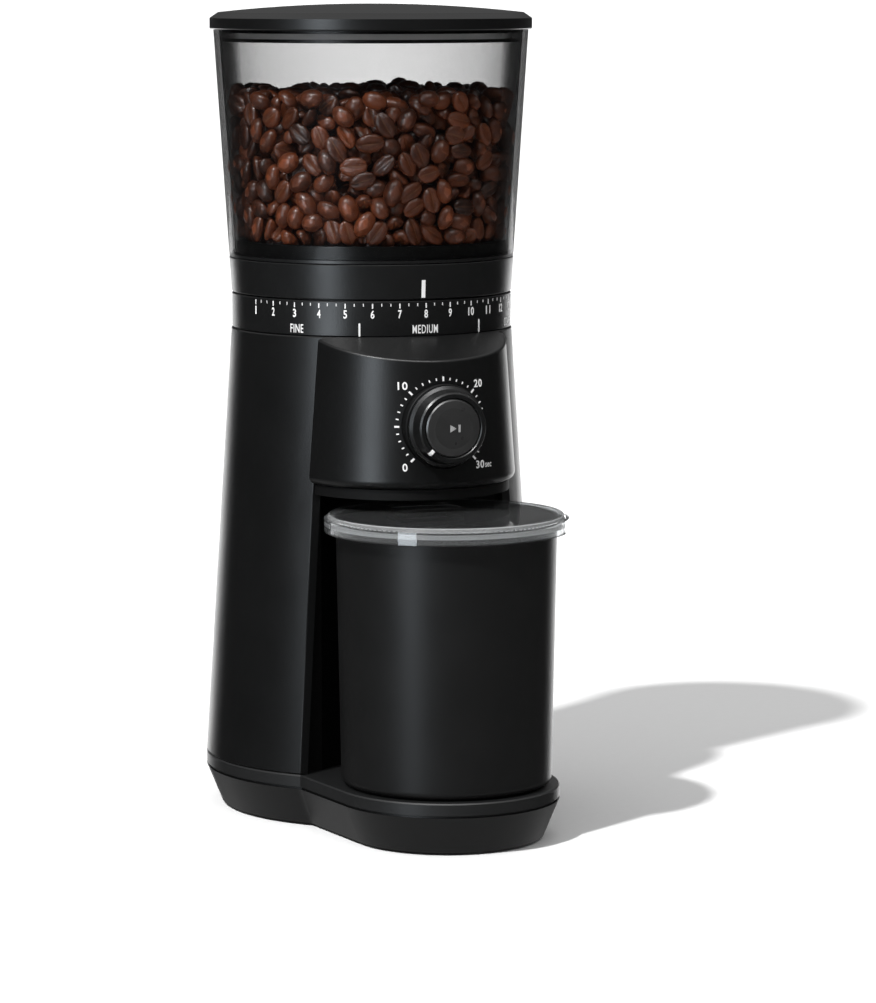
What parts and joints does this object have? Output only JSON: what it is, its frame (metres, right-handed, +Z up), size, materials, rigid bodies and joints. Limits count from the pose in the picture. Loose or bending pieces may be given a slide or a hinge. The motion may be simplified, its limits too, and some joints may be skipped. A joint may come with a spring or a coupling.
{
  "type": "burr coffee grinder",
  "caption": "Upright conical burr coffee grinder with a smoked bean hopper, a turning grind collar, a timer dial with a push button and a lidded grounds container.",
  "frame": {"origin": "centre of the footprint on the surface the grinder stands on", "axes": "+Z up, -Y towards the user, +X to the user's right"},
  "size_m": [0.136, 0.1968, 0.325],
  "materials": {
    "satin_black": "fine moulded satin",
    "deep_black": "matt, unlit inside surface",
    "gloss_black": "smooth",
    "smoke_clear": "clear, lightly smoked",
    "clear_plastic": "clear",
    "white_print": "printed white",
    "black_rubber": "matt",
    "grey_silicone": "translucent",
    "burr_steel": "ground",
    "plain_steel": "turned",
    "screw_steel": "zinc plated",
    "gear_nylon": "moulded nylon",
    "motor_iron": "zinc grey",
    "magnet": "sintered",
    "bush_brass": "sintered bronze",
    "board_green": "glass-fibre board",
    "frame_grey": "glass-filled"
  },
  "bodies": {
    "chassis": {"base_skirt": "satin_black", "cord_gland": "black_rubber", "base_tray": "satin_black", "bottom_plate": "deep_black", "rubber_feet": "black_rubber", "bottom_screws": "screw_steel", "side_panel": "satin_black", "front_housing": "satin_black", "housing_underside": "deep_black", "recess_liner": "deep_black", "scale_ring": "satin_black", "grind_chamber": "frame_grey", "shaft_bearings": "bush_brass", "gearbox_housing": "frame_grey", "gearbox_cover": "frame_grey", "gearbox_screws": "screw_steel", "compound_axle": "plain_steel", "motor_can": "motor_iron", "motor_end_caps": "motor_iron", "motor_magnets": "magnet", "motor_dampers": "black_rubber", "inner_frame": "frame_grey", "control_board": "board_green", "power_board": "board_green", "timer_encoder": "frame_grey", "interlock_switch": "gloss_black", "dial_bezel": "satin_black", "grounds_chute": "deep_black"},
    "grind_collar": {"grind_collar": "satin_black", "collar_mark": "white_print"},
    "burr_carrier": {"burr_carrier": "frame_grey", "ring_burr": "burr_steel", "ring_burr_screws": "screw_steel", "carrier_spring": "plain_steel"},
    "hopper": {"hopper": "smoke_clear", "hopper_base": "gloss_black"},
    "hopper_gate": {"hopper_gate": "gloss_black", "gate_rivet": "plain_steel"},
    "hopper_lid": {"hopper_lid": "satin_black", "hopper_lid_seal": "grey_silicone"},
    "burr_drive": {"burr_shaft": "plain_steel", "cone_burr": "burr_steel", "feed_auger": "plain_steel", "burr_nut": "screw_steel", "grounds_impeller": "gear_nylon", "drive_gear": "gear_nylon"},
    "compound_gear": {"compound_gear": "gear_nylon"},
    "motor_rotor": {"motor_shaft": "plain_steel", "motor_armature": "magnet", "motor_pinion": "bush_brass"},
    "timer_dial": {"timer_dial": "satin_black", "dial_mark": "white_print", "dial_shaft": "plain_steel", "button_switch": "deep_black"},
    "start_button": {"start_button": "gloss_black"},
    "grounds_container": {"grounds_container": "satin_black"},
    "container_lid": {"container_lid": "clear_plastic", "container_lid_seal": "grey_silicone"}
  },
  "joints": [
    {"name": "grind_turn", "type": "hinge", "parent": "chassis", "child": "grind_collar", "pos_m": [0, 0.0304, 0.2167], "axis": [0, 0, 1], "range_deg": [-79, 79]},
    {"name": "carrier_lift", "type": "slide", "parent": "chassis", "child": "burr_carrier", "axis": [0, 0, 1], "range_m": [-0.00085, 0.00085], "deforming": ["carrier_spring"]},
    {"name": "hopper_lift", "type": "slide", "parent": "grind_collar", "child": "hopper", "axis": [0, 0, 1], "range_m": [0, 0.11]},
    {"name": "gate_turn", "type": "hinge", "parent": "hopper", "child": "hopper_gate", "pos_m": [0, 0.0304, 0.2125], "axis": [0, 0, 1], "range_deg": [0, 90]},
    {"name": "lid_lift", "type": "slide", "parent": "hopper", "child": "hopper_lid", "axis": [0, 0, 1], "range_m": [0, 0.06]},
    {"name": "burr_spin", "type": "hinge", "parent": "chassis", "child": "burr_drive", "pos_m": [0, 0.0304, 0.16], "axis": [0, 0, 1], "continuous": true},
    {"name": "wheel_spin", "type": "hinge", "parent": "chassis", "child": "compound_gear", "pos_m": [0.0195, 0.04503, 0.13], "axis": [0, 0, 1], "continuous": true},
    {"name": "motor_spin", "type": "hinge", "parent": "chassis", "child": "motor_rotor", "pos_m": [0, 0.0454, 0.08], "axis": [0, 0, 1], "continuous": true},
    {"name": "timer_turn", "type": "hinge", "parent": "chassis", "child": "timer_dial", "pos_m": [0, -0.05, 0.162], "axis": [0, 1, 0], "range_deg": [0, 270]},
    {"name": "start_press", "type": "slide", "parent": "timer_dial", "child": "start_button", "axis": [0, 1, 0], "range_m": [0, 0.0015], "stiffness_N_per_m": 800},
    {"name": "container_out", "type": "slide", "parent": "chassis", "child": "grounds_container", "axis": [0, -1, 0], "range_m": [0, 0.12]},
    {"name": "lid_twist", "type": "hinge", "parent": "grounds_container", "child": "container_lid", "pos_m": [0, -0.0506, 0.127], "axis": [0, 0, 1], "range_deg": [0, 30]}
  ],
  "couplings": [
    {"joint": "carrier_lift", "follows": "grind_turn", "m_per_rad": 0.00058021},
    {"joint": "wheel_spin", "follows": "burr_spin", "ratio": -4},
    {"joint": "motor_spin", "follows": "burr_spin", "ratio": 13.333}
  ]
}
